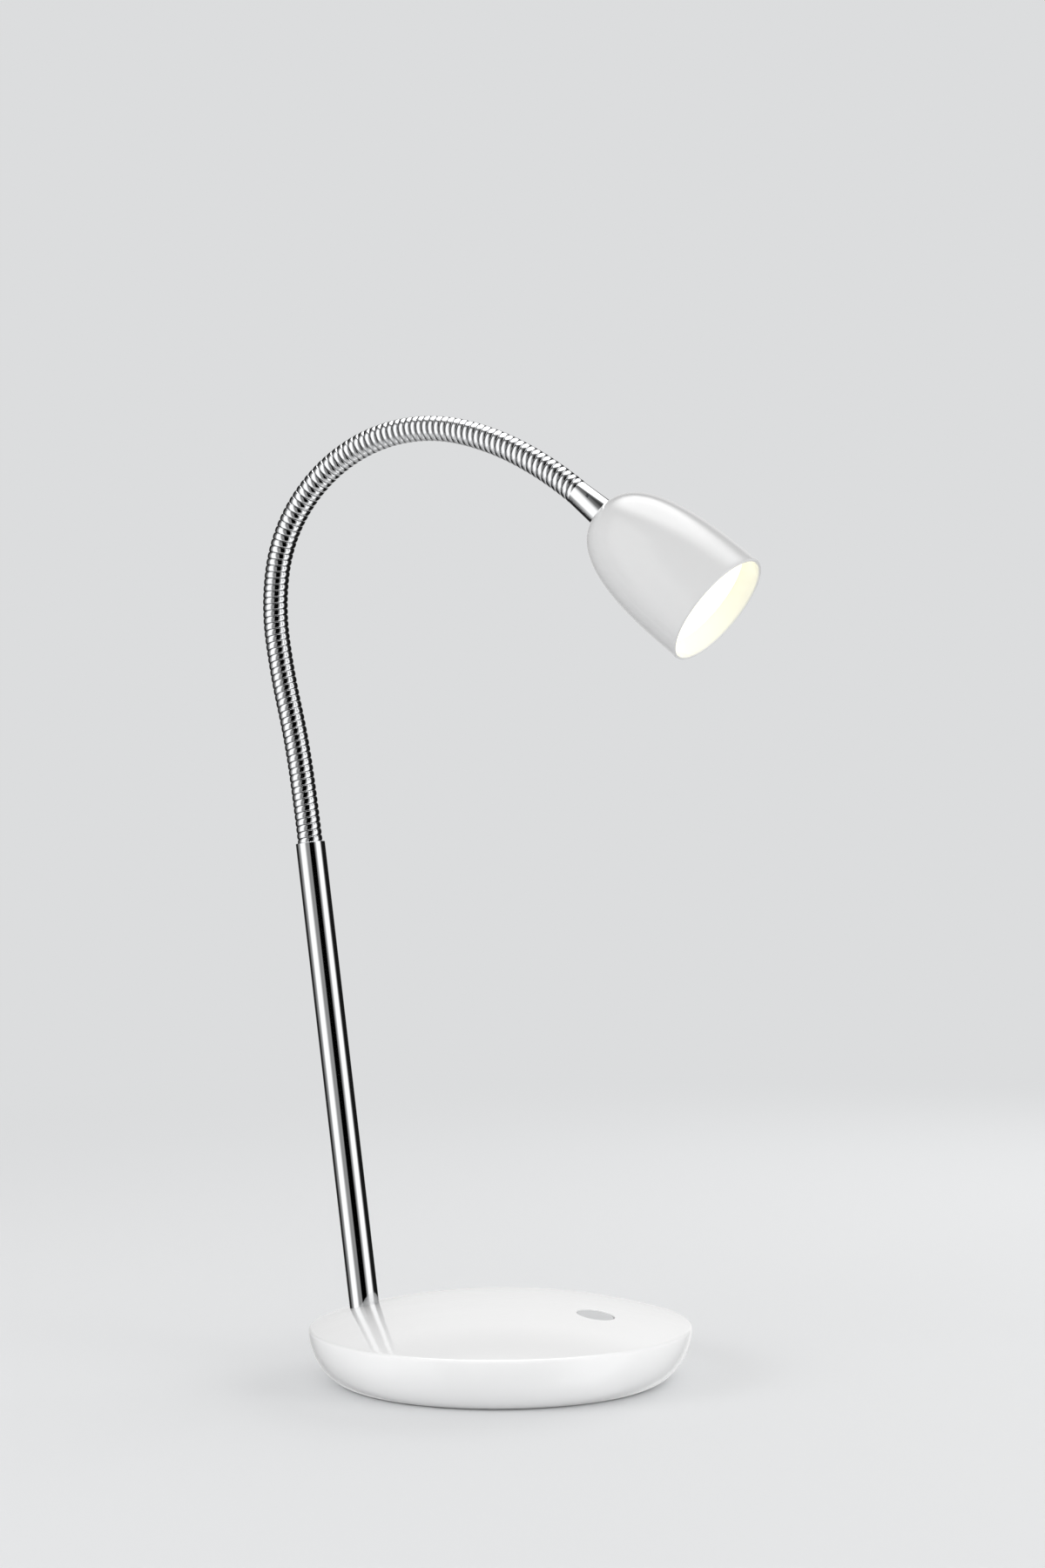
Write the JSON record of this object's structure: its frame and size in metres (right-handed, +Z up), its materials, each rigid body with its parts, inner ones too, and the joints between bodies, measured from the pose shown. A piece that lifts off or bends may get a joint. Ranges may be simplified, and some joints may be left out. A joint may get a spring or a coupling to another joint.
{
  "type": "gooseneck desk lamp",
  "caption": "Desk lamp with a round weighted foot, a leaning chrome tube, a ribbed bendable neck and a bullet shade with an LED lamp behind a recessed diffuser.",
  "frame": {"origin": "on the desk surface, under the middle of the round foot", "axes": "+Z up from the desk, +X from the tube towards the side that the shade lights, +Y to the left of +X seen from above"},
  "size_m": [0.2134, 0.1506, 0.3793],
  "materials": {
    "white_shell": "gloss moulded, white",
    "button_grey": "satin moulded, light grey",
    "chrome_tube": "polished and chromium plated",
    "chrome_neck": "polished and chromium plated",
    "steel_plate": "zinc plated sheet",
    "cast_iron": "as cast, black paint",
    "zinc_steel": "zinc plated",
    "brass_part": "turned",
    "foam_rubber": "closed cell foam",
    "black_plastic": "moulded",
    "grey_plastic": "moulded",
    "board_green": "coated laminate",
    "tape_yellow": "film wrapped core",
    "cap_sleeve": "shrink sleeve",
    "terminal_green": "moulded",
    "lead_sheath": "extruded sheath",
    "sink_alu": "cast, plain",
    "board_white": "white coated aluminium board",
    "led_phosphor": "silicone with phosphor",
    "reflector_white": "moulded, bright white",
    "diffuser_opal": "opal sheet, satin"
  },
  "bodies": {
    "foot": {"base_shell": "white_shell", "base_plate": "steel_plate", "base_weight": "cast_iron", "foot_pad": "foam_rubber", "plate_screws": "zinc_steel", "weight_screws": "zinc_steel", "cord_gland": "grey_plastic", "switch_body": "black_plastic", "driver_board": "board_green", "board_spacers": "brass_part", "board_screws": "zinc_steel", "transformer": "tape_yellow", "capacitors": "cap_sleeve", "terminal_block": "terminal_green", "support_tube": "chrome_tube", "tube_nipple": "brass_part", "tube_washer": "zinc_steel", "tube_nut": "zinc_steel", "neck_ferrule": "brass_part", "neck_piece_1": "chrome_neck", "lead_piece_1": "lead_sheath"},
    "button": {"switch_button": "button_grey", "switch_plunger": "black_plastic"},
    "neck_2": {"neck_piece_2": "chrome_neck", "lead_piece_2": "lead_sheath"},
    "neck_3": {"neck_piece_3": "chrome_neck", "lead_piece_3": "lead_sheath"},
    "neck_4": {"neck_piece_4": "chrome_neck", "lead_piece_4": "lead_sheath"},
    "neck_5": {"neck_piece_5": "chrome_neck", "lead_piece_5": "lead_sheath"},
    "neck_6": {"neck_piece_6": "chrome_neck", "lead_piece_6": "lead_sheath"},
    "neck_7": {"neck_piece_7": "chrome_neck", "lead_piece_7": "lead_sheath"},
    "neck_8": {"neck_piece_8": "chrome_neck", "lead_piece_8": "lead_sheath"},
    "neck_9": {"neck_piece_9": "chrome_neck", "lead_piece_9": "lead_sheath"},
    "head": {"neck_piece_10": "chrome_neck", "lead_piece_10": "lead_sheath", "head_collar": "chrome_tube", "collar_screw": "zinc_steel", "shade": "white_shell", "shade_washer": "zinc_steel", "shade_nut": "brass_part", "heat_sink": "sink_alu", "led_board": "board_white", "led_chip": "led_phosphor", "led_screws": "zinc_steel", "reflector": "reflector_white", "diffuser": "diffuser_opal"}
  },
  "joints": [
    {"name": "button_press", "type": "slide", "parent": "foot", "child": "button", "axis": [0, 0, -1], "range_m": [0, 0.0012], "stiffness_N_per_m": 600, "springref_m": -0.0015},
    {"name": "bend_1", "type": "hinge", "parent": "foot", "child": "neck_2", "pos_m": [-0.08531, 0.00003, 0.23785], "axis": [0.0934, 0.9956, 0.0116], "range_deg": [-20, 10]},
    {"name": "sway_2", "type": "hinge", "parent": "neck_2", "child": "neck_3", "pos_m": [-0.09069, 0.00022, 0.26532], "axis": [0.9676, -0.0935, 0.2346], "range_deg": [-20, 20]},
    {"name": "bend_3", "type": "hinge", "parent": "neck_3", "child": "neck_4", "pos_m": [-0.09595, 0.00039, 0.29281], "axis": [0.0934, 0.9956, 0.0116], "range_deg": [-20, 10]},
    {"name": "bend_4", "type": "hinge", "parent": "neck_4", "child": "neck_5", "pos_m": [-0.09565, 0.00004, 0.3207], "axis": [0.0934, 0.9956, 0.0116], "range_deg": [-20, 10]},
    {"name": "bend_5", "type": "hinge", "parent": "neck_5", "child": "neck_6", "pos_m": [-0.08503, -0.00126, 0.3463], "axis": [0.0934, 0.9956, 0.0116], "range_deg": [-20, 10]},
    {"name": "sway_6", "type": "hinge", "parent": "neck_6", "child": "neck_7", "pos_m": [-0.0645, -0.0034, 0.36492], "axis": [0.4998, -0.0368, -0.8654], "range_deg": [-20, 20]},
    {"name": "bend_7", "type": "hinge", "parent": "neck_7", "child": "neck_8", "pos_m": [-0.03823, -0.00597, 0.37366], "axis": [0.0934, 0.9956, 0.0116], "range_deg": [-20, 10]},
    {"name": "bend_8", "type": "hinge", "parent": "neck_8", "child": "neck_9", "pos_m": [-0.01061, -0.00853, 0.37151], "axis": [0.0934, 0.9956, 0.0116], "range_deg": [-20, 10]},
    {"name": "sway_9", "type": "hinge", "parent": "neck_9", "child": "head", "pos_m": [0.01516, -0.01083, 0.36097], "axis": [-0.4807, 0.0553, -0.8751], "range_deg": [-20, 20]}
  ]
}
